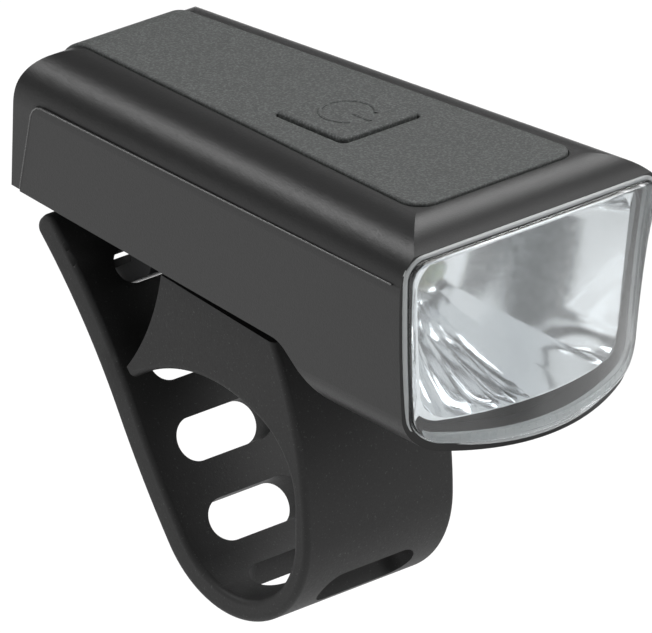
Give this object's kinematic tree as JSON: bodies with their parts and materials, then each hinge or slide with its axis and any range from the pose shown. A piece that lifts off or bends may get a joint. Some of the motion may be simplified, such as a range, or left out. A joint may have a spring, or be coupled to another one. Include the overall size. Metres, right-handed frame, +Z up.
{
  "type": "bike headlight",
  "caption": "Handlebar headlight: tapered black housing, bowed clear lens over a faceted reflector, rubber top pad with power button, slotted rubber strap.",
  "frame": {"origin": "on the handlebar's axis, midway across the strap", "axes": "+X along the handlebar, the light shines along -Y, +Z up"},
  "size_m": [0.042, 0.0835, 0.0664],
  "materials": {
    "main_housing": "matt black moulded polycarbonate",
    "bottom_cover": "matt black moulded polycarbonate",
    "cover_seal": "silicone seal",
    "cover_screws": "zinc plated steel",
    "lens": "clear moulded polycarbonate",
    "lens_gasket": "foamed silicone",
    "reflector": "vacuum metallised plastic",
    "led_board": "white masked aluminium board",
    "led_emitter": "phosphor under a clear dome",
    "heat_sink": "extruded aluminium",
    "engine_screws": "zinc plated steel",
    "main_board": "green glass-epoxy board",
    "board_screws": "zinc plated steel",
    "driver_chip": "epoxy package",
    "driver_coil": "ferrite",
    "tact_switch": "moulded switch body",
    "switch_plunger": "moulded plunger",
    "charge_led": "clear lamp chip",
    "usb_port": "nickel plated shell",
    "battery_pad": "foam pad",
    "battery_cell": "laminated aluminium pouch",
    "battery_leads": "silicone insulated wire",
    "led_connector": "moulded connector",
    "led_leads": "silicone insulated wire",
    "top_pad": "grained silicone rubber",
    "usb_flap": "grained silicone rubber",
    "power_button": "grained silicone rubber",
    "strap_saddle": "matt black rubber",
    "strap_tail": "matt black rubber",
    "mount_plate": "matt black moulded nylon",
    "plate_screws": "zinc plated steel"
  },
  "bodies": {
    "housing": {"main_housing": "main_housing", "bottom_cover": "bottom_cover", "cover_seal": "cover_seal", "cover_screws": "cover_screws", "lens": "lens", "lens_gasket": "lens_gasket", "reflector": "reflector", "led_board": "led_board", "led_emitter": "led_emitter", "heat_sink": "heat_sink", "engine_screws": "engine_screws", "main_board": "main_board", "board_screws": "board_screws", "driver_chip": "driver_chip", "driver_coil": "driver_coil", "tact_switch": "tact_switch", "charge_led": "charge_led", "usb_port": "usb_port", "battery_pad": "battery_pad", "battery_cell": "battery_cell", "battery_leads": "battery_leads", "led_connector": "led_connector", "led_leads": "led_leads", "top_pad": "top_pad", "strap_saddle": "strap_saddle", "mount_plate": "mount_plate", "plate_screws": "plate_screws"},
    "strap_tail": {"strap_tail": "strap_tail"},
    "power_button": {"power_button": "power_button", "switch_plunger": "switch_plunger"},
    "usb_flap": {"usb_flap": "usb_flap"}
  },
  "joints": [
    {"name": "strap_swing", "type": "hinge", "parent": "housing", "child": "strap_tail", "pos_m": [0, 0.00834, -0.01191], "axis": [-1, 0, 0], "range_deg": [0, 80], "stiffness_Nm_per_rad": 0.03, "springref_deg": -14.32},
    {"name": "button_press", "type": "slide", "parent": "housing", "child": "power_button", "axis": [0, 0, -1], "range_m": [0, 0.0004], "stiffness_N_per_m": 1500},
    {"name": "flap_swing", "type": "hinge", "parent": "housing", "child": "usb_flap", "pos_m": [0, 0.0375, 0.045], "axis": [1, 0, 0], "range_deg": [0, 100], "stiffness_Nm_per_rad": 0.002}
  ]
}
